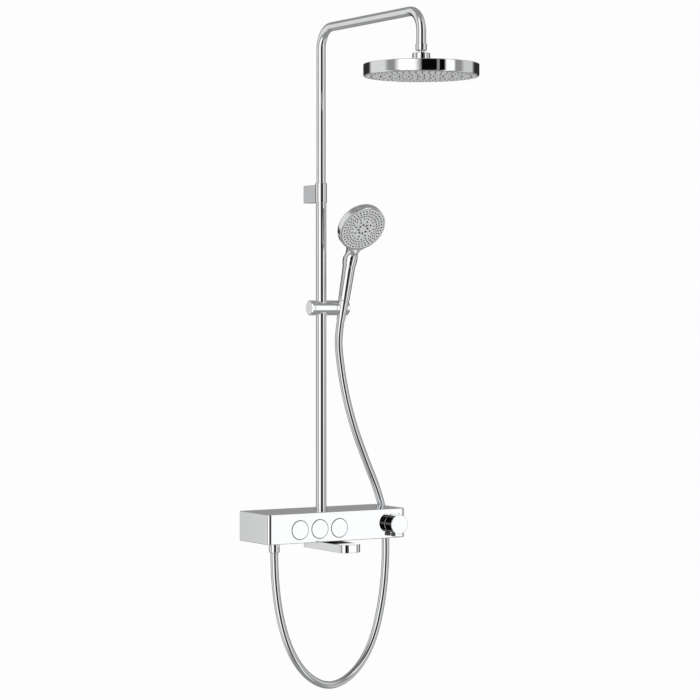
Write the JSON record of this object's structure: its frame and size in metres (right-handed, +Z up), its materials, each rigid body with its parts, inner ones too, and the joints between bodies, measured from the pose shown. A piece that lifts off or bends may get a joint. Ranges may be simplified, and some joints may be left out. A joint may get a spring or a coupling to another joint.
{
  "type": "rainfall shower column",
  "caption": "Wall-mounted thermostatic shower column: shelf mixer with push buttons and swivel spout, telescopic riser, round overhead rain head, hand shower in a sliding holder with hose.",
  "frame": {"origin": "midpoint between the two water inlets on the wall plane, at the mixer's mid-height", "axes": "+X to the right along the wall, +Y into the wall, +Z up; the front faces -Y"},
  "size_m": [0.3642, 0.573, 1.4009],
  "materials": {
    "chrome_plate": "mirror",
    "raw_brass": "machined",
    "stainless_steel": "brushed",
    "grey_nozzle_plate": "satin",
    "black_plastic": "satin",
    "white_plastic": "satin",
    "seal_rubber": "matte",
    "chrome_hose": "gloss"
  },
  "bodies": {
    "root": {"mixer_housing": "chrome_plate", "index_mark": "black_plastic", "back_plate": "stainless_steel", "plate_screws": "stainless_steel", "union_nuts": "raw_brass", "inlet_unions": "raw_brass", "flow_cartridges": "white_plastic", "button_springs": "stainless_steel", "valve_manifold": "raw_brass", "thermostat_cartridge": "white_plastic", "temperature_stop_ring": "black_plastic", "hose_outlet_fitting": "raw_brass", "lower_hose_nut": "chrome_plate", "spout_socket": "white_plastic", "spout_washer": "white_plastic", "riser_base_fitting": "raw_brass", "riser_lower_tube": "chrome_plate", "bracket_collar": "chrome_plate", "riser_gland": "white_plastic", "bracket_block": "chrome_plate", "bracket_anchor": "stainless_steel", "bracket_set_screw": "stainless_steel", "hose_main": "chrome_hose"},
    "button_left": {"push_button_left": "chrome_plate"},
    "button_middle": {"push_button_middle": "chrome_plate"},
    "button_right": {"push_button_right": "chrome_plate"},
    "knob": {"temperature_knob": "chrome_plate", "knob_tab": "chrome_plate", "knob_stem": "raw_brass"},
    "spout": {"spout_bar": "chrome_plate", "spout_stem": "chrome_plate", "spout_o_rings": "seal_rubber", "aerator_ring": "chrome_plate", "aerator_insert": "black_plastic"},
    "arm_guide": {"riser_guide_bush": "white_plastic"},
    "arm": {"riser_upper_tube": "chrome_plate", "neck_nut": "chrome_plate", "swivel_ball": "chrome_plate"},
    "upper_seat": {"ball_seat_upper": "white_plastic"},
    "lower_seat": {"ball_seat_lower": "white_plastic"},
    "rain_head": {"swivel_collar": "chrome_plate", "collar_lock_nut": "stainless_steel", "rain_head_shell": "chrome_plate", "rain_nozzle_plate": "grey_nozzle_plate", "water_distributor": "white_plastic"},
    "slider_carriage": {"slider_bush": "white_plastic", "hose_rise": "chrome_hose"},
    "slider": {"slider_body": "chrome_plate", "holder_pivot_pin": "stainless_steel", "hose_turn": "chrome_hose"},
    "lock": {"lock_knob": "chrome_plate"},
    "holder": {"hand_shower_holder": "chrome_plate", "hose_tilt": "chrome_hose"},
    "handset": {"hose_cone_nut": "chrome_plate", "handset_inlet": "raw_brass", "handset_shell": "chrome_plate", "spray_face": "grey_nozzle_plate", "nozzle_mat": "black_plastic", "spray_distributor": "white_plastic", "hose_top": "chrome_hose"}
  },
  "joints": [
    {"name": "button_left_press", "type": "slide", "parent": "root", "child": "button_left", "axis": [0, 1, 0], "range_m": [0, 0.0035], "stiffness_N_per_m": 600, "springref_m": -0.002, "deforming": ["button_springs"]},
    {"name": "button_middle_press", "type": "slide", "parent": "root", "child": "button_middle", "axis": [0, 1, 0], "range_m": [0, 0.0035], "stiffness_N_per_m": 600, "springref_m": -0.002, "deforming": ["button_springs"]},
    {"name": "button_right_press", "type": "slide", "parent": "root", "child": "button_right", "axis": [0, 1, 0], "range_m": [0, 0.0035], "stiffness_N_per_m": 600, "springref_m": -0.002, "deforming": ["button_springs"]},
    {"name": "temperature_turn", "type": "hinge", "parent": "root", "child": "knob", "pos_m": [0.137, -0.136, -0.001], "axis": [0, 1, 0], "range_deg": [-140, 100]},
    {"name": "spout_swivel", "type": "hinge", "parent": "root", "child": "spout", "pos_m": [0, -0.055, -0.042], "axis": [0, 0, 1], "range_deg": [-60, 60]},
    {"name": "arm_height", "type": "slide", "parent": "root", "child": "arm_guide", "axis": [0, 0, 1], "range_m": [-0.15, 0.15]},
    {"name": "arm_swivel", "type": "hinge", "parent": "arm_guide", "child": "arm", "pos_m": [0, -0.055, 0.8], "axis": [0, 0, 1], "range_deg": [-60, 60]},
    {"name": "head_tilt_fore_aft", "type": "hinge", "parent": "arm", "child": "upper_seat", "pos_m": [0, -0.437, 0.944], "axis": [1, 0, 0], "range_deg": [-12, 12]},
    {"name": "head_tilt_sideways", "type": "hinge", "parent": "upper_seat", "child": "lower_seat", "pos_m": [0, -0.437, 0.944], "axis": [0, 1, 0], "range_deg": [-12, 12]},
    {"name": "head_spin", "type": "hinge", "parent": "lower_seat", "child": "rain_head", "pos_m": [0, -0.437, 0.944], "axis": [0, 0, 1], "continuous": true},
    {"name": "slider_height", "type": "slide", "parent": "root", "child": "slider_carriage", "axis": [0, 0, 1], "range_m": [-0.1, 0.14], "deforming": ["hose_rise"]},
    {"name": "slider_swivel", "type": "hinge", "parent": "slider_carriage", "child": "slider", "pos_m": [0, -0.055, 0.454], "axis": [0, 0, 1], "range_deg": [-40, 25], "deforming": ["hose_turn"]},
    {"name": "lock_turn", "type": "hinge", "parent": "slider", "child": "lock", "pos_m": [-0.025, -0.055, 0.454], "axis": [1, 0, 0], "range_deg": [-90, 90]},
    {"name": "holder_tilt", "type": "hinge", "parent": "slider", "child": "holder", "pos_m": [0.0465, -0.055, 0.454], "axis": [1, 0, 0], "range_deg": [-15, 25], "deforming": ["hose_tilt"]},
    {"name": "handset_lift", "type": "slide", "parent": "holder", "child": "handset", "axis": [0, -0.2807, 0.9598], "range_m": [0, 0.025], "deforming": ["hose_top"]}
  ]
}
